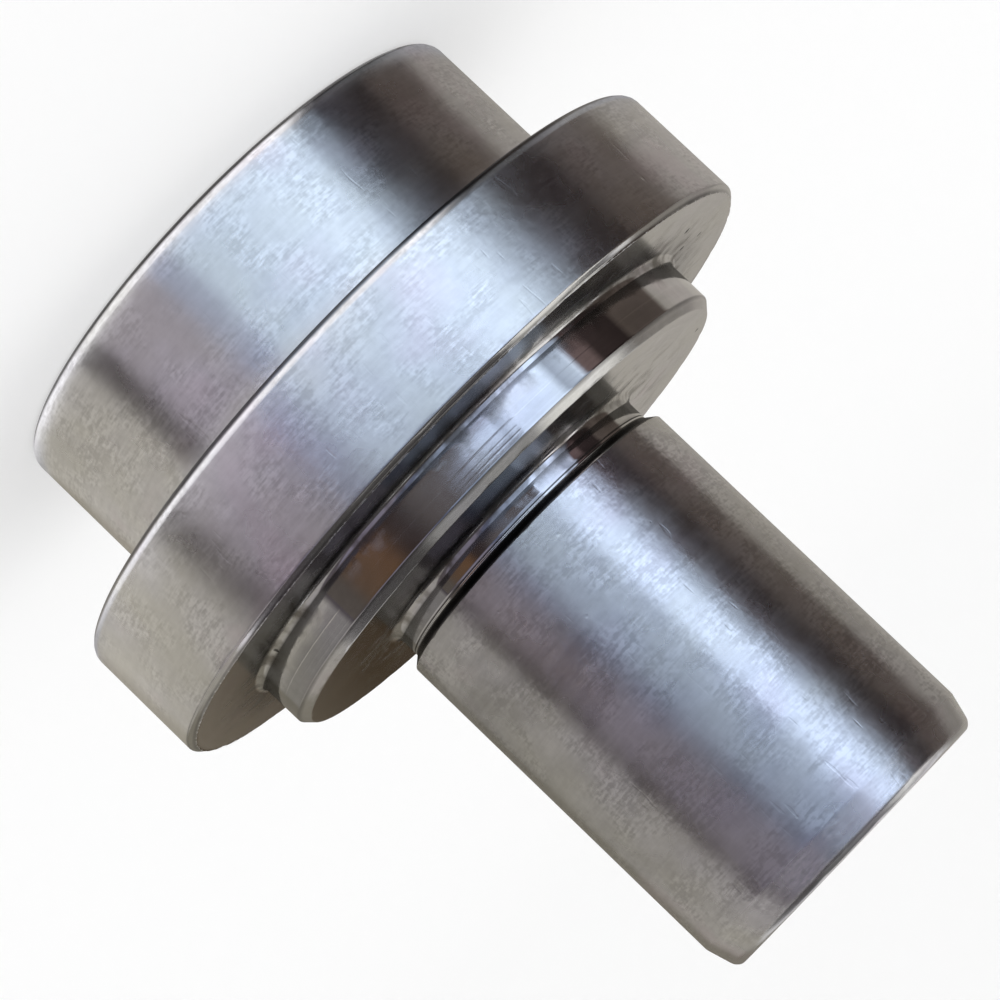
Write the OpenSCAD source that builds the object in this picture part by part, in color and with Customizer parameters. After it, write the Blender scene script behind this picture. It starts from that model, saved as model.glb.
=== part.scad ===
// Idler shaft, turned from one steel bar. From the bottom up it has the drum that the idler runs on,
// a thrust flange, a short pilot shoulder and a ground spigot that is pressed into the housing.
// Z is the turning axis, in millimetres, and the drum's end face lies at Z = 0.

/* [Drum] */
// Diameter of the drum that the idler runs on
drum_d = 60; // [45:0.5:75]
// Length of the drum, from its end face to the flange
drum_len = 19; // [10:0.5:40]
// Rounding of the drum's free edge
drum_edge_r = 1.2; // [0.4:0.1:3]
// Fillet in the corner between the drum and the flange
drum_root_r = 0.8; // [0.3:0.1:2]

/* [Flange] */
// Diameter of the thrust flange
flange_d = 80; // [72:0.5:120]
// Thickness of the thrust flange
flange_len = 14.6; // [8:0.1:30]
// Rounding of the flange's rim on the drum's side
flange_edge_r = 1.2; // [0.4:0.1:3]
// Chamfer of the flange's rim on the spigot's side
flange_chamfer = 0.65; // [0.2:0.05:2]

/* [Pilot shoulder] */
// Diameter of the shoulder that centres the flange in the housing
pilot_d = 60.4; // [48:0.2:74]
// Height of the shoulder above the flange's face
pilot_len = 6.3; // [5:0.1:15]
// Chamfer of the shoulder's rim
pilot_chamfer = 1; // [0.3:0.1:2]
// Width of the relief turned at the shoulder's foot
pilot_relief_w = 2; // [1.4:0.1:4]
// Depth of that relief below the shoulder's land
pilot_relief_depth = 0.35; // [0.1:0.05:0.8]
// Fillet where the relief runs into the flange's face
pilot_root_r = 0.8; // [0.2:0.1:1.2]

/* [Spigot] */
// Diameter of the ground spigot
spigot_d = 36; // [28:0.2:44]
// Length of the spigot, from the shoulder's face to its tip
spigot_len = 48.6; // [25:0.2:100]
// Length of the slow lead-in taper at the tip
lead_len = 3.6; // [1:0.1:8]
// Amount that the lead-in taper takes off the radius
lead_depth = 0.85; // [0.3:0.05:3]
// Small chamfer at the very tip
tip_chamfer = 0.6; // [0.1:0.1:1]

/* [Grinding undercut] */
// Width of the undercut at the spigot's foot, over its sloping wall
undercut_w = 4; // [3:0.1:8]
// Depth of the undercut below the spigot's land
undercut_depth = 1.1; // [0.3:0.1:1.5]
// Fillet where the undercut runs into the shoulder's face
undercut_root_r = 1; // [0.3:0.1:1.5]
// Slope of the undercut's far wall, in degrees from the axis
undercut_slope = 50; // [30:1:80]

/* [Lathe centres] */
// Diameter of the 60 degree centre at each end face
centre_d = 8.5; // [4:0.5:14]
// Diameter of the pilot hole at the centre's bottom
centre_pilot_d = 4; // [2:0.5:6]
// Depth of the pilot hole's straight wall, from the end face
centre_depth = 8; // [7:0.5:14]

/* [Hidden] */
$fn = 180;

steel = [0.60, 0.60, 0.61];
centre_angle = 60;
drill_angle = 118;

drum_r = drum_d / 2;
flange_r = flange_d / 2;
pilot_r = pilot_d / 2;
spigot_r = spigot_d / 2;
relief_r = pilot_r - pilot_relief_depth;
undercut_r = spigot_r - undercut_depth;
tip_r = spigot_r - lead_depth;

// Heights of the faces along the axis
flange_z = drum_len;
seat_z = flange_z + flange_len;
pilot_z = seat_z + pilot_len;
tip_z = pilot_z + spigot_len;

// The piece between a square corner at the origin and the round of radius r that touches both sides.
// Added in an inner corner it is a fillet, cut from an outer corner it is a rounding.
module corner(r) {
    difference() {
        square(r);
        translate([r, r]) circle(r);
    }
}

// Half section of the drum, with its free edge rounded
module drum_section() {
    difference() {
        square([drum_r, drum_len]);
        translate([drum_r, 0]) mirror([1, 0]) corner(drum_edge_r);
    }
}

// Half section of the flange, with the fillets at its two feet
module flange_section() {
    difference() {
        translate([0, flange_z]) square([flange_r, flange_len]);
        translate([flange_r, flange_z]) mirror([1, 0]) corner(flange_edge_r);
        polygon([
            [flange_r - flange_chamfer, seat_z],
            [flange_r, seat_z - flange_chamfer],
            [flange_r, seat_z]
        ]);
    }
    translate([drum_r, flange_z]) mirror([0, 1]) corner(drum_root_r);
    translate([relief_r, seat_z]) corner(pilot_root_r);
}

// Half section of the shoulder: a shallow relief at its foot, then the land and a chamfered rim
module pilot_section() {
    polygon([
        [0, seat_z],
        [relief_r, seat_z],
        [relief_r, seat_z + pilot_relief_w],
        [pilot_r, seat_z + pilot_relief_w + pilot_relief_depth],
        [pilot_r, pilot_z - pilot_chamfer],
        [pilot_r - pilot_chamfer, pilot_z],
        [0, pilot_z]
    ]);
}

// Half section of the spigot: the undercut with its sloping wall, the land and the lead-in taper
module spigot_section() {
    undercut_z = pilot_z + undercut_w;
    wall_run = undercut_depth / tan(undercut_slope);
    polygon([
        [0, pilot_z],
        [undercut_r, pilot_z],
        [undercut_r, undercut_z - wall_run],
        [spigot_r, undercut_z],
        [spigot_r, tip_z - lead_len],
        [tip_r, tip_z - tip_chamfer],
        [tip_r - tip_chamfer, tip_z],
        [0, tip_z]
    ]);
    translate([undercut_r, pilot_z]) corner(undercut_root_r);
}

// Half section of a lathe centre that opens at the origin and runs up the axis
module centre_section() {
    cone_z = (centre_d - centre_pilot_d) / 2 / tan(centre_angle / 2);
    point_z = centre_pilot_d / 2 / tan(drill_angle / 2);
    polygon([
        [0, 0],
        [centre_d / 2, 0],
        [centre_pilot_d / 2, cone_z],
        [centre_pilot_d / 2, centre_depth],
        [0, centre_depth + point_z]
    ]);
}

module idler_shaft() {
    color(steel)
        rotate_extrude()
            difference() {
                union() {
                    drum_section();
                    flange_section();
                    pilot_section();
                    spigot_section();
                }
                centre_section();
                translate([0, tip_z]) mirror([0, 1]) centre_section();
            }
}

idler_shaft();
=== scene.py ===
import math

import bpy
import numpy as np
from mathutils import Matrix, Vector


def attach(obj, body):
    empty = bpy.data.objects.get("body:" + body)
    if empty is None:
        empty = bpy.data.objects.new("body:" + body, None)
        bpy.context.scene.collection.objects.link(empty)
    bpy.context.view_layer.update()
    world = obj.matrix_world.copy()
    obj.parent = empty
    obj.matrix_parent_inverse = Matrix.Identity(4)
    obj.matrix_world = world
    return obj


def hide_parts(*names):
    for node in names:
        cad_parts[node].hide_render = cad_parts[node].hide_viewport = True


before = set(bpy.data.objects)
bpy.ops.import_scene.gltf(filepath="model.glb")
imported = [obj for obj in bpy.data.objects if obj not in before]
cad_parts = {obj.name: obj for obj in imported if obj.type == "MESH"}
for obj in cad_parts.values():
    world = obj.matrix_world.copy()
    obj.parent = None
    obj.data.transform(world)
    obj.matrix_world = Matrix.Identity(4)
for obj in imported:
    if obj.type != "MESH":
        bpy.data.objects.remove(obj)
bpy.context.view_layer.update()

# The shaft is one bar of steel, turned between centres on a lathe: drum, flange, shoulder and spigot.
# The drum, the flange's rim and the spigot are ground round, and the shoulder keeps its turning rings.
# Every corner has the small radius or burr that the tool leaves, and the rims carry nicks.

MM = 0.001
AROUND = 400
ARC_STEPS = 6

# Corners of the half outline from one lathe centre to the other: radius, height and rounding (mm).
# Then the finish of the side that follows: roughness, and how strongly the grinding lines show.
SHAFT_CORNERS = np.array([
    (0.00, 9.20, 0.00, 0.40, 0.3),
    (2.00, 8.00, 0.10, 0.40, 0.3),
    (2.00, 3.90, 0.15, 0.35, 0.3),
    (4.25, 0.00, 0.15, 0.26, 0.3),
    (30.00, 0.00, 1.20, 0.29, 1.0),
    (30.00, 19.00, 0.80, 0.30, 0.3),
    (40.00, 19.00, 1.20, 0.29, 1.0),
    (40.00, 33.04, 0.35, 0.16, 0.2),
    (39.30, 33.60, 0.09, 0.19, 0.12),
    (30.203, 33.60, 0.80, 0.06, 0.06),
    (30.193, 34.60, 0.30, 0.06, 0.06),
    (30.18, 35.90, 0.30, 0.06, 0.06),
    (30.15, 38.90, 0.25, 0.22, 0.30),
    (29.20, 39.90, 0.20, 0.17, 0.12),
    (16.913, 39.90, 1.00, 0.04, 0.06),
    (16.90, 42.98, 0.25, 0.22, 0.30),
    (18.00, 43.90, 0.20, 0.27, 1.3),
    (18.00, 84.90, 1.60, 0.26, 0.7),
    (17.15, 87.90, 1.30, 0.30, 0.4),
    (16.55, 88.50, 0.90, 0.24, 0.2),
    (4.25, 88.50, 0.15, 0.35, 0.3),
    (2.00, 84.60, 0.15, 0.40, 0.3),
    (2.00, 80.50, 0.10, 0.40, 0.3),
    (0.00, 79.30, 0.00, 0.40, 0.3),
])

# Turning rings on the walls: height, depth, half width (mm)
TOOL_RINGS = np.array([
    (36.95, 0.0010, 0.06),
    (37.80, 0.0006, 0.06),
    (38.35, 0.0009, 0.06),
    (42.52, 0.0400, 0.08),
])
# Rows of points across one ring, in its half widths
RING_STEPS = np.array([-3.2, -2.0, -1.2, -0.6, 0.0, 0.6, 1.2, 2.0, 3.2])

# Nicks on the rims: corner, radius of the edge (mm), how many, and their depth, width and reach (mm)
RIM_NICKS = (
    (8, 39.30, 60, 0.05, 0.7, 0.14),
    (7, 40.00, 24, 0.04, 0.7, 0.20),
    (13, 29.20, 26, 0.06, 0.6, 0.14),
    (16, 18.00, 14, 0.04, 0.6, 0.12),
    (19, 16.55, 18, 0.07, 0.7, 0.16),
)

# The burr at the flange's front corner (mm): mean height of its lip, how far that wanders, its reach
BURR_CORNER = 8
BURR_HEIGHT = 0.05
BURR_WANDER = 0.02
BURR_REACH = 0.09

# Grime and painted shade darken the inner corners at the feet of the shoulder and the spigot: corner,
# and reach along the outline (mm)
FOOT_GRIME_AND_SHADE = ((9, 2.4), (14, 1.8))

# Extra rows beside each arc, and more beside nicked rims, keep their shading off the long sides:
# their gap in mm, and the gaps at nicked rims as multiples of it
GUARD = 0.07
NICK_GUARDS = (3, 7)

# Dark lines in corners and on the roundings of edges: painted shade and painted dark reflection there,
# partly also old oil and oxide on unground edges:
# corner, place along its arc from 0 to 1 or past it on the sides, half width (mm), strength
SHADE_AND_OXIDE_LINES = np.array([
    (4, 0.28, 0.78, 0.95),
    (5, 0.50, 0.70, 0.60),
    (6, 0.28, 0.78, 0.95),
    (8, -3.40, 0.28, 0.58),
    (9, 0.00, 0.14, 0.60),
    (12, 1.80, 0.32, 0.50),
    (15, 1.00, 0.12, 0.60),
    (15, 3.60, 0.62, 0.92),
])

# Deep pits of the bar's old skin that the turning left, on the faces and at the shoulder's foot:
# place and half width (mm)
DEEP_PITS = (
    (-33.25, -7.50, 33.60, 0.50),
    (-34.60, 0.55, 33.60, 0.36),
    (-32.10, -1.50, 33.60, 0.40),
    (-27.40, 3.90, 39.90, 0.36),
    (25.50, -16.10, 34.10, 0.34),
)


def rounded_outline(corners, steps):
    """Half outline with an arc in every corner.

    The path turns by an angle at each corner. The arc touches both sides at its radius times the
    tangent of half that angle from the corner, and is swept about its centre in even steps.
    """
    points = corners[:, :2]
    sides = np.diff(points, axis=0)
    sides /= np.linalg.norm(sides, axis=1, keepdims=True)
    before = sides[:-1]
    after = sides[1:]
    cross = before[:, 0] * after[:, 1] - before[:, 1] * after[:, 0]
    turn = np.arctan2(cross, (before * after).sum(axis=1))
    radius = corners[1:-1, 2]
    start = points[1:-1] - before * (radius * np.tan(np.abs(turn) / 2))[:, None]
    aside = np.stack([-before[:, 1], before[:, 0]], axis=1) * np.sign(turn)[:, None]
    centre = start + aside * radius[:, None]
    arm = start - centre
    sweep = turn[:, None] * np.linspace(0, 1, steps)
    across = arm[:, :1] * np.cos(sweep) - arm[:, 1:] * np.sin(sweep)
    upward = arm[:, :1] * np.sin(sweep) + arm[:, 1:] * np.cos(sweep)
    arcs = centre[:, None, :] + np.stack([across, upward], axis=2)
    return np.vstack([points[:1], arcs.reshape(-1, 2), points[-1:]])


outline = rounded_outline(SHAFT_CORNERS, ARC_STEPS)
run = np.concatenate([[0], np.cumsum(np.linalg.norm(np.diff(outline, axis=0), axis=1))])
arc_run = run[1:-1].reshape(-1, ARC_STEPS)

# The outer walls lie between the mouths of the two lathe centres
wall = slice(1 + 3 * ARC_STEPS, 1 + 20 * ARC_STEPS)
ring_run = np.interp(TOOL_RINGS[:, 0], outline[wall, 1], run[wall])
ring_rows = ring_run[:, None] + TOOL_RINGS[:, 2:] * RING_STEPS
guard_rows = np.concatenate([arc_run[:, 0] - GUARD, arc_run[:, -1] + GUARD])
nicked_run = arc_run[[row[0] - 1 for row in RIM_NICKS]]
nick_gap = np.array(NICK_GUARDS) * GUARD
nick_guards = np.concatenate([nicked_run[:, :1] - nick_gap, nicked_run[:, -1:] + nick_gap])
along = np.unique(np.concatenate([run, guard_rows, nick_guards.ravel(), ring_rows.ravel()]))
along = along[(along >= 0) & (along <= run[-1])]
radius = np.interp(along, run, outline[:, 0])
height = np.interp(along, run, outline[:, 1])
slope = np.stack([np.gradient(height, along), -np.gradient(radius, along)], axis=1)
slope /= np.linalg.norm(slope, axis=1, keepdims=True)

ring_bell = np.exp(-((along[:, None] - ring_run) / TOOL_RINGS[:, 2]) ** 2)
ring_depth = (TOOL_RINGS[:, 1] * ring_bell).sum(axis=1)
angle = np.arange(AROUND) * (2 * math.pi / AROUND)
lift = np.repeat(-ring_depth[:, None], AROUND, axis=1)

chance = np.random.default_rng(11)


def nick_field(edge_run, edge_radius, count, depth, width, reach):
    """Depth of many small nicks along one edge.

    Each nick is a bell in the distance round the edge times a bell in the distance along the outline,
    with its own place, depth and width.
    """
    place = chance.uniform(0, 2 * math.pi, count)
    deep = chance.uniform(0.35, 1.0, count) * depth
    wide = chance.uniform(0.6, 1.4, count) * width
    round_gap = (angle[:, None] - place + math.pi) % (2 * math.pi) - math.pi
    bell = np.exp(-(round_gap * edge_radius / wide) ** 2) * deep
    return np.exp(-((along - edge_run) / reach) ** 2)[:, None] * bell.sum(axis=1)


def edge_at(corner):
    """Distance along the outline to the middle of one corner's arc."""
    return arc_run[corner - 1].mean()


for nicked_corner, *nick_sizes in RIM_NICKS:
    lift -= nick_field(edge_at(nicked_corner), *nick_sizes)

# The burr's lip wanders round the rim as a sum of sines of uneven pitch
burr_wander = sum(
    np.sin(angle * turns + phase) / np.sqrt(turns)
    for turns, phase in zip((5, 11, 17, 29, 43, 67), chance.uniform(0, 6.28, 6))
)
burr = BURR_HEIGHT + BURR_WANDER * burr_wander
burr_rows = np.exp(-((along - edge_at(BURR_CORNER)) / BURR_REACH) ** 2)
lift += burr_rows[:, None] * burr

middle = arc_run.mean(axis=1)
side = np.searchsorted(middle, along)
line_rows = SHAFT_CORNERS[side, 4]
rough_rows = SHAFT_CORNERS[side, 3]
# Rows of the dark corner and edge lines, which are painted shade and dark reflection, partly oxide
dark_corner = SHADE_AND_OXIDE_LINES[:, 0].astype(int) - 1
arc_length = arc_run[:, -1] - arc_run[:, 0]
dark_run = arc_run[dark_corner, 0] + SHADE_AND_OXIDE_LINES[:, 1] * arc_length[dark_corner]
dark_bell = np.exp(-((along[:, None] - dark_run) / SHADE_AND_OXIDE_LINES[:, 2]) ** 4)
shade_and_oxide_rows = (SHADE_AND_OXIDE_LINES[:, 3] * dark_bell).max(axis=1)
grime_and_shade_rows = sum(np.exp(-((along - edge_at(foot)) / reach) ** 2) for foot, reach in FOOT_GRIME_AND_SHADE)


def turned_surface(name, radius, height, slope, lift):
    """Outline carried round the axis: radius and height, moved along the outline's normal by lift.

    A point at angle a sits at radius times the cosine and sine of a. The first and last rows are poles.
    """
    ring = np.stack([np.cos(angle), np.sin(angle)], axis=1)
    out = radius[1:-1, None] + slope[1:-1, :1] * lift[1:-1]
    up = height[1:-1, None] + slope[1:-1, 1:] * lift[1:-1]
    grid = np.concatenate([out[:, :, None] * ring, up[:, :, None]], axis=2).reshape(-1, 3)
    poles = np.array([(0, 0, height[0]), (0, 0, height[-1])])
    rows = len(radius) - 2
    first = np.arange(AROUND)
    second = (first + 1) % AROUND
    base = (np.arange(rows - 1) * AROUND)[:, None]
    above = base + AROUND
    quads = np.stack([base + first, base + second, above + second, above + first], axis=2)
    low = rows * AROUND
    last = (rows - 1) * AROUND
    low_fan = np.stack([np.full(AROUND, low), second, first], axis=1)
    high_fan = np.stack([last + first, last + second, np.full(AROUND, low + 1)], axis=1)
    faces = quads.reshape(-1, 4).tolist() + low_fan.tolist() + high_fan.tolist()
    mesh = bpy.data.meshes.new(name)
    mesh.from_pydata((np.vstack([grid, poles]) * MM).tolist(), [], faces)
    mesh.polygons.foreach_set("use_smooth", np.ones(len(faces), dtype=bool))
    mesh.update()
    piece = bpy.data.objects.new(name, mesh)
    bpy.context.scene.collection.objects.link(piece)
    return piece


def row_values(piece, name, rows):
    """Stores one value per outline row on every point of that row."""
    values = np.concatenate([np.repeat(rows[1:-1], AROUND), rows[[0, -1]]]).astype(np.float32)
    piece.data.attributes.new(name, "FLOAT", "POINT").data.foreach_set("value", values)


shaft = turned_surface("turned_shaft", radius, height, slope, lift)
row_values(shaft, "along", along)
row_values(shaft, "lines", line_rows)
row_values(shaft, "rough", rough_rows)
row_values(shaft, "dark", shade_and_oxide_rows)
row_values(shaft, "burr", burr_rows)
row_values(shaft, "grime_and_shade", grime_and_shade_rows)

steel = bpy.data.materials.new("ground_steel")
steel.use_nodes = True
tree = steel.node_tree
tree.nodes.clear()


def wire(tree, kind, values=None, **settings):
    """One node: settings are its own choices, and values fill its inputs with numbers or with links."""
    node = tree.nodes.new(kind)
    for name, value in settings.items():
        setattr(node, name, value)
    for socket, value in (values or {}).items():
        if isinstance(value, bpy.types.NodeSocket):
            tree.links.new(value, node.inputs[socket])
        else:
            node.inputs[socket].default_value = value
    return node


def sums(operation, first, second):
    """One arithmetic step between two values."""
    return wire(tree, "ShaderNodeMath", {0: first, 1: second}, operation=operation).outputs[0]


def spread(value, low, high, to_low, to_high):
    """Maps a value between two limits to two others, and holds it there outside them."""
    limits = {0: value, 1: low, 2: high, 3: to_low, 4: to_high}
    return wire(tree, "ShaderNodeMapRange", limits).outputs[0]


spot = wire(tree, "ShaderNodeTexCoord").outputs["Object"]
outline_mm = wire(tree, "ShaderNodeAttribute", attribute_name="along").outputs["Fac"]
line_share = wire(tree, "ShaderNodeAttribute", attribute_name="lines").outputs["Fac"]
side_rough = wire(tree, "ShaderNodeAttribute", attribute_name="rough").outputs["Fac"]
shade_and_oxide_share = wire(tree, "ShaderNodeAttribute", attribute_name="dark").outputs["Fac"]
burr_share = wire(tree, "ShaderNodeAttribute", attribute_name="burr").outputs["Fac"]
grime_and_shade_share = wire(tree, "ShaderNodeAttribute", attribute_name="grime_and_shade").outputs["Fac"]


def ring_noise(length, pitch, detail, shift):
    """Noise drawn out round the axis: long in x and y, and fine in the distance along the outline."""
    stretch = (1000 / length, 1000 / length, 0)
    flat = wire(tree, "ShaderNodeVectorMath", {0: spot, 1: stretch}, operation="MULTIPLY")
    step_values = {0: outline_mm, 1: 1 / pitch, 2: shift}
    step = wire(tree, "ShaderNodeMath", step_values, operation="MULTIPLY_ADD")
    lift_step = wire(tree, "ShaderNodeCombineXYZ", {2: step.outputs[0]})
    both_values = {0: flat.outputs[0], 1: lift_step.outputs[0]}
    both = wire(tree, "ShaderNodeVectorMath", both_values, operation="ADD")
    values = {"Vector": both.outputs[0], "Scale": 1.0, "Detail": detail, "Roughness": 0.6}
    return wire(tree, "ShaderNodeTexNoise", values).outputs["Fac"]


def cloud_noise(scale, detail):
    """Even noise in space, in cells per metre."""
    values = {"Vector": spot, "Scale": scale, "Detail": detail}
    return wire(tree, "ShaderNodeTexNoise", values).outputs["Fac"]


short_lines = ring_noise(1.7, 0.34, 1, 0)
long_lines = ring_noise(30, 0.8, 2, 17)
mottle = cloud_noise(850.0, 2.0)
peel = cloud_noise(1900.0, 1.0)
stain = cloud_noise(140.0, 3.0)
cast = cloud_noise(95.0, 2.0)
patch = spread(cloud_noise(230.0, 1.0), 0.42, 0.60, 0.15, 1.0)
scuff_lay = {"Vector": spot, "Rotation": (0.35, 0.25, 0.4), "Scale": (1500, 1500, 260)}
scuff_stretch = wire(tree, "ShaderNodeMapping", scuff_lay)
scuff_values = {"Vector": scuff_stretch.outputs[0], "Scale": 1.0, "Detail": 1.0}
scuff_noise = wire(tree, "ShaderNodeTexNoise", scuff_values)
scuffs = spread(scuff_noise.outputs["Fac"], 0.69, 0.75, 0, 1)
dent_cells = wire(tree, "ShaderNodeTexVoronoi", {"Vector": spot, "Scale": 520.0})
dent_pick = wire(tree, "ShaderNodeSeparateColor", {0: dent_cells.outputs["Color"]})
dent_size = spread(dent_pick.outputs[0], 0.86, 1.0, 0.0, 0.15)
dents = spread(sums("SUBTRACT", dent_size, dent_cells.outputs["Distance"]), 0.0, 0.1, 0, 1)
pit_size = spread(dent_pick.outputs[1], 0.98, 1.0, 0.0, 0.10)
pits = spread(sums("SUBTRACT", pit_size, dent_cells.outputs["Distance"]), 0.0, 0.04, 0, 0.7)
ragged_mm = sums("MULTIPLY", sums("SUBTRACT", peel, 0.5), 0.5)
for *pit_place, pit_mm in DEEP_PITS:
    pit_values = {0: spot, 1: tuple(part * MM for part in pit_place)}
    pit_gap = wire(tree, "ShaderNodeVectorMath", pit_values, operation="DISTANCE").outputs["Value"]
    edge_gap = sums("ADD", sums("MULTIPLY", pit_gap, 1 / MM), ragged_mm)
    pits = sums("MAXIMUM", pits, spread(edge_gap, 0.6 * pit_mm, pit_mm, 1, 0))


def mixed(share, first, second):
    """Colour between two others."""
    node = wire(tree, "ShaderNodeMix", {0: share, 6: first, 7: second}, data_type="RGBA")
    return node.outputs[2]


line_height = sums("MULTIPLY", sums("MULTIPLY", sums("SUBTRACT", short_lines, 0.5), line_share), patch)
tone = sums("ADD", sums("MULTIPLY", long_lines, 0.4), sums("MULTIPLY", stain, 0.6))
peel_height = sums("MULTIPLY", sums("MULTIPLY", sums("SUBTRACT", peel, 0.5), line_share), patch)
tone = sums("ADD", tone, sums("MULTIPLY", line_height, 1.3))
tone = sums("ADD", tone, sums("MULTIPLY", peel_height, 0.9))
tone = sums("ADD", tone, sums("MULTIPLY", sums("SUBTRACT", mottle, 0.5), 0.30))
steel_colour = mixed(spread(tone, 0.25, 0.75, 0, 1), (0.50, 0.49, 0.48, 1), (0.71, 0.70, 0.69, 1))
steel_colour = mixed(spread(cast, 0.45, 0.65, 0, 0.40), steel_colour, (0.60, 0.59, 0.51, 1))
steel_colour = mixed(spread(cast, 0.45, 0.28, 0, 0.45), steel_colour, (0.66, 0.57, 0.61, 1))
# Painted shade: the corner and edge lines turn the colour near black, standing for shade and dark
# reflection as well as oxide
uneven = sums("MULTIPLY", sums("SUBTRACT", stain, 0.5), 0.5)
shade_and_oxide_edge = spread(sums("ADD", shade_and_oxide_share, uneven), 0.25, 0.8, 0, 0.93)
steel_colour = mixed(shade_and_oxide_edge, steel_colour, (0.035, 0.03, 0.03, 1))
# The burr's lip is painted near white: pale burr metal together with a painted edge highlight
burr_and_painted_highlight = sums("MULTIPLY", burr_share, spread(ring_noise(0.9, 0.5, 2, 5), 0.45, 0.62, 0, 1))
steel_colour = mixed(burr_and_painted_highlight, steel_colour, (0.86, 0.85, 0.84, 1))
# Painted shade with grime: the inner corners at the feet of the shoulder and the spigot are darkened
# brown in cloudy patches
grime_and_shade_cloud = sums("ADD", cloud_noise(420.0, 3.0), sums("MULTIPLY", grime_and_shade_share, 0.12))
grime_and_shade = sums("MULTIPLY", spread(grime_and_shade_cloud, 0.52, 0.78, 0, 0.8), grime_and_shade_share)
steel_colour = mixed(grime_and_shade, steel_colour, (0.12, 0.10, 0.07, 1))
steel_colour = mixed(sums("MULTIPLY", pits, 0.75), steel_colour, (0.03, 0.025, 0.02, 1))

rough = sums("ADD", side_rough, sums("MULTIPLY", spread(stain, 0.3, 0.7, -0.04, 0.06), line_share))
rough = sums("ADD", rough, sums("MULTIPLY", sums("ADD", sums("ADD", pits, burr_and_painted_highlight), grime_and_shade), 0.3))

relief = sums("ADD", sums("MULTIPLY", line_height, 0.7), sums("MULTIPLY", peel_height, 0.9))
relief = sums("ADD", relief, sums("MULTIPLY", sums("MULTIPLY", long_lines, line_share), 0.5))
relief = sums("ADD", relief, sums("MULTIPLY", sums("MULTIPLY", mottle, line_share), 1.3))
flaws = sums("ADD", sums("MULTIPLY", scuffs, 0.5), sums("MULTIPLY", dents, 1.2))
relief = sums("SUBTRACT", relief, sums("MULTIPLY", flaws, line_share))
relief = sums("SUBTRACT", relief, sums("MULTIPLY", pits, 2.0))
grain = wire(tree, "ShaderNodeBump", {"Strength": 1.0, "Distance": 1e-5, "Height": relief})
lay = wire(tree, "ShaderNodeTangent", direction_type="RADIAL", axis="Z")
metal = wire(tree, "ShaderNodeBsdfPrincipled", {
    "Base Color": steel_colour,
    "Metallic": 1.0,
    "Roughness": rough,
    "Anisotropic": 0.5,
    "Anisotropic Rotation": 0.25,
    "Normal": grain.outputs[0],
    "Tangent": lay.outputs[0],
})
wire(tree, "ShaderNodeOutputMaterial", {"Surface": metal.outputs[0]})
shaft.data.materials.append(steel)

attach(shaft, "root")
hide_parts("idler_shaft")

# The floor is a plain pale sweep of painted board that turns up at its rim, so that no horizon shows.
# It is one flat disc whose edge follows a quarter circle into an upright wall.

FLOOR_FLAT = 1.6
FLOOR_BEND = 0.8
FLOOR_WALL = 1.6
# Share of plain white in what the camera and mirrors see of the paint
FLOOR_WHITE = 0.55


def sweep_surface(name, path, turns):
    """Path of radius and height carried round the axis, closed at the middle by its zero radius."""
    ring = np.stack([np.cos(turns), np.sin(turns)], axis=1)
    grid = np.concatenate([
        path[:, None, :1] * ring,
        np.repeat(path[:, None, 1:], len(turns), axis=1),
    ], axis=2).reshape(-1, 3)
    wide = len(turns)
    first = np.arange(wide)
    second = (first + 1) % wide
    base = (np.arange(len(path) - 1) * wide)[:, None]
    quads = np.stack([base + first, base + first + wide, base + second + wide, base + second], axis=2)
    mesh = bpy.data.meshes.new(name)
    mesh.from_pydata(grid.tolist(), [], quads.reshape(-1, 4).tolist())
    mesh.polygons.foreach_set("use_smooth", np.ones(len(mesh.polygons), dtype=bool))
    mesh.update()
    board = bpy.data.objects.new(name, mesh)
    bpy.context.scene.collection.objects.link(board)
    return board


bend = np.linspace(0, math.pi / 2, 24)
floor_path = np.vstack([
    [(0.0005, 0.0), (0.3, 0.0)],
    np.stack([FLOOR_FLAT + FLOOR_BEND * np.sin(bend), FLOOR_BEND * (1 - np.cos(bend))], axis=1),
    [(FLOOR_FLAT + FLOOR_BEND, FLOOR_WALL)],
])
floor = sweep_surface("floor", floor_path, np.linspace(0, 2 * math.pi, 96, endpoint=False))
paint = bpy.data.materials.new("pale_floor_paint")
paint.use_nodes = True
board_tree = paint.node_tree
board_tree.nodes.clear()
matt = wire(board_tree, "ShaderNodeBsdfDiffuse", {"Color": (0.95, 0.95, 0.95, 1)})
white = wire(board_tree, "ShaderNodeEmission", {"Color": (1, 1, 1, 1), "Strength": 1.0})
ray = wire(board_tree, "ShaderNodeLightPath").outputs
mirror_rays = {0: ray["Is Glossy Ray"], 1: ray["Is Transmission Ray"]}
mirror_ray = wire(board_tree, "ShaderNodeMath", mirror_rays, operation="MAXIMUM").outputs[0]
seen_rays = {0: ray["Is Camera Ray"], 1: mirror_ray}
seen_ray = wire(board_tree, "ShaderNodeMath", seen_rays, operation="MAXIMUM").outputs[0]
white_share = wire(board_tree, "ShaderNodeMath", {0: seen_ray, 1: FLOOR_WHITE}, operation="MULTIPLY")
coats = {0: white_share.outputs[0], 1: matt.outputs[0], 2: white.outputs[0]}
painted = wire(board_tree, "ShaderNodeMixShader", coats)
wire(board_tree, "ShaderNodeOutputMaterial", {"Surface": painted.outputs[0]})
floor.data.materials.append(paint)

# Cards round the part give the bare metal something to mirror: one sheet lies on the floor and stands up
# as a wall. It is painted in soft bands, and only the steel's reflections see it.
# Azimuths are in degrees from the camera's side, lengths in metres.

MIRROR_RADIUS = 0.03
CARD_BEND = 0.27
CARD_TOP = 0.30
CARD_FEATHER = 2.0
CARD_LEAN = math.radians(10)
CORNER_FADE = -1.6

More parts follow.
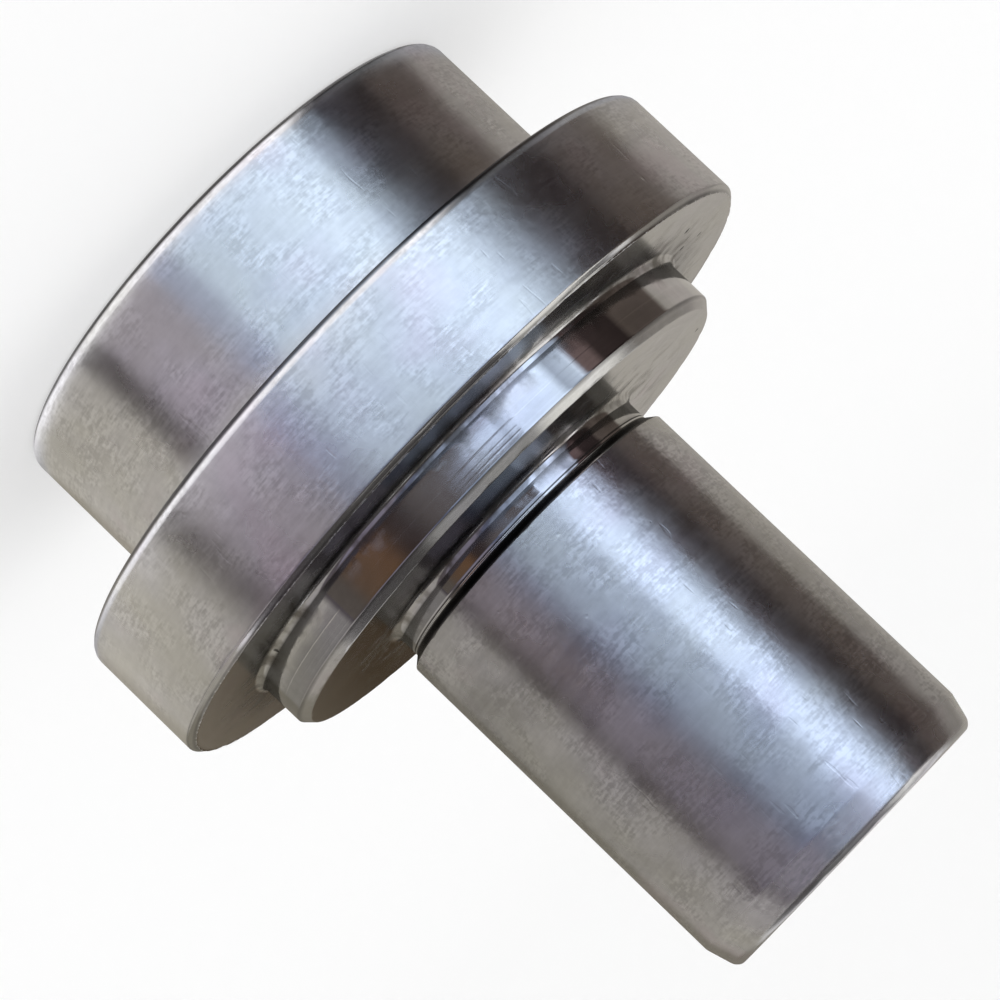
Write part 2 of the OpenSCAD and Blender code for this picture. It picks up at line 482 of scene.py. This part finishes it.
# Each band: azimuth from and to, colour on the floor, and its shares at the wall's foot and further up
CARDS = np.array([
    (-180, -145, 0.40, 0.37, 0.31, 0.43, 0.62),
    (-145, -77, 0.64, 0.61, 0.56, 0.35, 0.72),
    (-77, -63, 0.11, 0.096, 0.10, 0.80, 1.30),
    (-63, -28, 0.55, 0.51, 0.60, 0.155, 0.49),
    (-28, -16, 0.55, 0.62, 0.86, 0.16, 0.29),
    (-16, 4, 0.98, 1.18, 1.48, 0.30, 0.37),
    (4, 24, 1.10, 1.33, 1.64, 0.45, 0.42),
    (24, 50, 1.18, 1.42, 1.73, 1.00, 1.00),
    (50, 61, 0.42, 0.50, 0.62, 1.20, 1.12),
    (61, 71, 0.03, 0.022, 0.022, 4.00, 2.50),
    (71, 90, 0.03, 0.022, 0.022, 1.00, 1.00),
    (90, 118, 0.13, 0.105, 0.095, 0.85, 0.85),
    (118, 150, 0.41, 0.385, 0.36, 0.95, 0.74),
    (150, 180, 0.44, 0.415, 0.38, 0.95, 1.00),
])


def glow_surface(name, grid, colours):
    """Grid of points made into a glowing sheet that only reflections see, with one colour per point.

    The glow is the number of reflections so far, raised to the corner fade. It falls from steel to
    steel, so that inner corners stay dark.
    """
    tall, wide = grid.shape[:2]
    base = (np.arange(tall - 1) * wide)[:, None] + np.arange(wide - 1)
    quads = np.stack([base, base + wide, base + wide + 1, base + 1], axis=2)
    mesh = bpy.data.meshes.new(name)
    mesh.from_pydata(grid.reshape(-1, 3).tolist(), [], quads.reshape(-1, 4).tolist())
    mesh.update()
    shades = np.ones((tall, wide, 4), dtype=np.float32)
    shades[:, :, :3] = colours
    mesh.attributes.new("paint", "FLOAT_COLOR", "POINT").data.foreach_set("color", shades.ravel())
    card = bpy.data.objects.new(name, mesh)
    bpy.context.scene.collection.objects.link(card)
    glow = bpy.data.materials.new(name)
    glow.use_nodes = True
    glow_tree = glow.node_tree
    glow_tree.nodes.clear()
    colour = wire(glow_tree, "ShaderNodeAttribute", attribute_name="paint").outputs["Color"]
    bounces = wire(glow_tree, "ShaderNodeLightPath").outputs["Glossy Depth"]
    fade = wire(glow_tree, "ShaderNodeMath", {0: bounces, 1: CORNER_FADE}, operation="POWER")
    shine = wire(glow_tree, "ShaderNodeEmission", {"Color": colour, "Strength": fade.outputs[0]})
    wire(glow_tree, "ShaderNodeOutputMaterial", {"Surface": shine.outputs[0]})
    glow.cycles.emission_sampling = "NONE"
    mesh.materials.append(glow)
    card.visible_camera = False
    card.visible_diffuse = False
    card.visible_shadow = False
    card.visible_transmission = False


def card_grid(azimuth, distance, level):
    """Points of a card whose strips follow the rays that a round wall mirrors to the camera.

    At azimuth a the ray leaves the wall at half that azimuth and runs along a. Each point lies at
    its distance along the ray and at its level over the floor.
    """
    wall_radius = MIRROR_RADIUS * (1 - np.abs(azimuth / math.pi) ** 8)
    x = -(wall_radius * np.sin(azimuth / 2) + distance * np.sin(azimuth))
    y = -(wall_radius * np.cos(azimuth / 2) + distance * np.cos(azimuth))
    return np.stack([x, y, np.broadcast_to(level, x.shape)], axis=2)


band_edges = np.stack([CARDS[:, 0] + CARD_FEATHER, CARDS[:, 1] - CARD_FEATHER], axis=1).ravel()
card_azimuth = np.unique(np.concatenate([np.linspace(-180, 180, 121), band_edges]))
bands = np.stack([
    np.interp(card_azimuth, band_edges, np.repeat(CARDS[:, column], 2))
    for column in range(2, 7)
], axis=1)
turns = np.radians(card_azimuth)[:, None]

floor_reach = np.array([0.0015, 0.01, 0.03, 0.08, 0.16, CARD_BEND])
floor_gain = np.array([0.88, 0.90, 0.93, 1.04, 1.15, 1.15])
lying = card_grid(turns, floor_reach, np.full(6, 0.0003))
glow_surface("floor_cards", lying, bands[:, None, :3] * floor_gain[:, None])

# The wall goes over from its foot's shares to the upper ones, and its lowest rows change by azimuth
wall_levels = np.array([0.0, 0.008, 0.014, 0.03, 0.085, 0.16, CARD_TOP])
wall_rise = np.array([0.0, 0.0, 0.0, 0.1, 1.0, 1.0, 1.0])
foot_gain = np.array([0.5, 0.45, 0.0, 0.0, 0.0, 0.0, 0.0])
foot_turns = (-85, -70, -20, 0, 18, 26, 50, 62, 76, 95, 112, 128)
foot_change = (0.3, 0.5, 0.9, 3.2, 3.1, -0.3, -0.3, 1.6, 1.2, -0.4, -0.4, 0.4)
wall_gain = 1 + foot_gain * np.interp(card_azimuth, foot_turns, foot_change)[:, None]
wall_share = (bands[:, 3:4] * (1 - wall_rise) + bands[:, 4:5] * wall_rise) * wall_gain
leaning = turns + CARD_LEAN * wall_levels / CARD_TOP * (1 - np.abs(turns / math.pi) ** 2)
upright = card_grid(leaning, np.full(7, CARD_BEND), wall_levels)
cool = np.ones((len(card_azimuth), 1, 3))
cool[:, 0, 2] = np.interp(card_azimuth, (-120, -90, 40, 70), (1.0, 1.11, 1.11, 1.0))
glow_surface("wall_cards", upright, bands[:, None, :3] * wall_share[:, :, None] * cool)

# A brown flag lies on the far end of that sheet and runs up the wall's foot, with a slanting edge.
# It darkens one half of the shoulder's land, the undercut and the spigot's foot.

FLAG_START = -74

# Rows of the flag from the floor up the wall: reach from the part, level, and the azimuth where it ends
FLAG_ROWS = np.array([
    (0.222, 0.0006, 29.0),
    (0.262, 0.0006, 28.0),
    (0.268, 0.0016, 18.0),
    (0.268, 0.0045, -1.0),
    (0.268, 0.0070, -13.0),
    (0.268, 0.0075, -14.0),
    (0.268, 0.0078, 27.0),
    (0.268, 0.0145, 27.0),
    (0.268, 0.0150, -6.0),
    (0.268, 0.0170, -10.0),
    (0.268, 0.0260, -26.0),
])
flag_reach, flag_level, flag_end = FLAG_ROWS.T
flag_part = np.linspace(0, 1, 33)[:, None]
flag_azimuth = FLAG_START + (flag_end - FLAG_START) * flag_part
brown = np.stack([
    np.interp(flag_azimuth, (-74, -66, -60, -44, -36, -28, -18, 28), shades)
    for shades in (
        (0.125, 0.115, 0.13, 0.15, 0.05, 0.05, 0.14, 0.10),
        (0.108, 0.098, 0.085, 0.085, 0.036, 0.04, 0.125, 0.09),
        (0.10, 0.09, 0.06, 0.05, 0.034, 0.042, 0.13, 0.10),
    )
], axis=2)
glow_surface("brown_flag", card_grid(np.radians(flag_azimuth), flag_reach, flag_level), brown)

# A small brown card hangs on the wall behind the part, and is seen in the lower halves of the faces.

REAR_REACH = 0.266
REAR_DARK = np.array([0.05, 0.034, 0.019])
REAR_PALE = np.array([0.23, 0.20, 0.16])

rear_azimuth = np.linspace(-180, -166, 8)[:, None]
rear_level = np.array([0.03, 0.06, 0.09, 0.12])
rear_shade = np.interp(rear_azimuth, (-174, -166), (0.0, 1.0))[:, :, None]
rear_colour = (1 - rear_shade) * REAR_DARK + rear_shade * REAR_PALE
rear_grid = card_grid(np.radians(rear_azimuth), np.full(4, REAR_REACH), rear_level)
glow_surface("rear_flag", rear_grid, rear_colour)

# White rings lie round the drum's foot and under the flange, and light up their rounded edges.
# A dim ceiling and two white panels hang over the part, and the chamfers and end faces mirror them.


def ring_grid(inner, outer, level):
    """Points of a flat ring between two radii at one level, by wall angle from the camera's side."""
    wall_angle = np.radians(ring_angle)[:, None]
    reach = np.array([inner, outer])
    flat = np.full((len(ring_angle), 2), level)
    return np.stack([-reach * np.sin(wall_angle), -reach * np.cos(wall_angle), flat], axis=2)


ring_angle = np.linspace(-180, 180, 121)
ring_turns = (-90, -75, -60, 24, 31, 50, 65, 180)
ring_shades = (0.5, 0.9, 1.4, 1.5, 0.10, 0.14, 0.4, 0.5)
ring_white = np.interp(ring_angle, ring_turns, ring_shades)
ring_colour = ring_white[:, None, None] * np.array([1.0, 1.0, 1.06])
glow_surface("foot_ring_card", ring_grid(0.0290, 0.0328, 0.0005), ring_colour)
glow_surface("flange_ring_card", ring_grid(0.0412, 0.053, 0.015), ring_colour)
glow_surface("ceiling_card", ring_grid(0.001, 1.9, 1.7), (0.085, 0.08, 0.083))


def panel_grid(left, right, front, back, level):
    """Points of a flat panel between two sides and two depths at one level."""
    across, deep = np.meshgrid(np.linspace(left, right, 5), np.linspace(front, back, 5), indexing="ij")
    return np.stack([across, deep, np.full((5, 5), level)], axis=2)


glow_surface("rear_panel", panel_grid(-1.4, 1.4, 0.85, 1.8, 1.6), (1.1, 1.1, 1.15))
glow_surface("top_panel", panel_grid(-0.5, 0.5, -0.40, -0.19, 1.6), (0.72, 0.72, 0.74))

# Light: an even white sky, and one large soft box high beside the part.

sky = bpy.data.worlds.new("white_sky")
sky.use_nodes = True
sky.node_tree.nodes["Background"].inputs["Color"].default_value = (1, 1, 1, 1)
sky.node_tree.nodes["Background"].inputs["Strength"].default_value = 1.0
bpy.context.scene.world = sky

soft_box = bpy.data.lights.new("soft_box", "AREA")
soft_box.shape = "SQUARE"
soft_box.size = 0.8
soft_box.energy = 2.2
soft_box_spot = Vector((-0.85, 0.05, 1.35))
soft_box_turn = soft_box_spot.to_track_quat("Z", "Y").to_matrix().to_4x4()
soft_box_stand = bpy.data.objects.new("soft_box", soft_box)
soft_box_stand.matrix_world = Matrix.Translation(soft_box_spot) @ soft_box_turn
bpy.context.scene.collection.objects.link(soft_box_stand)

# Camera: close to the part and level with the spigot's end, looking down at the flange.
# It is rolled, so that the upright axis runs from the upper left of the picture to the lower right.

CAMERA_DISTANCE = 0.3789
CAMERA_HEIGHT = 0.0865
LOOK_DOWN = math.radians(7.322)
LOOK_ASIDE = math.radians(-0.075)
AXIS_SLANT = math.radians(43.711)

level_look = Vector((0, math.cos(LOOK_DOWN), -math.sin(LOOK_DOWN)))
axis_side = Vector((0, math.sin(LOOK_DOWN), math.cos(LOOK_DOWN)))
forward = level_look * math.cos(LOOK_ASIDE) + Vector((1, 0, 0)) * math.sin(LOOK_ASIDE)
cross_side = Vector((1, 0, 0)) * math.cos(LOOK_ASIDE) - level_look * math.sin(LOOK_ASIDE)
picture_right = axis_side * math.cos(AXIS_SLANT) - cross_side * math.sin(AXIS_SLANT)
picture_up = -axis_side * math.sin(AXIS_SLANT) - cross_side * math.cos(AXIS_SLANT)
turn = Matrix((picture_right, picture_up, -forward)).transposed().to_4x4()

lens = bpy.data.cameras.new("camera")
lens.lens = 133.385
lens.sensor_width = 36.0
lens.clip_start = 0.01
camera = bpy.data.objects.new("camera", lens)
camera.matrix_world = Matrix.Translation((0, -CAMERA_DISTANCE, CAMERA_HEIGHT)) @ turn
bpy.context.scene.collection.objects.link(camera)
bpy.context.scene.camera = camera
bpy.context.scene.view_settings.view_transform = "Standard"
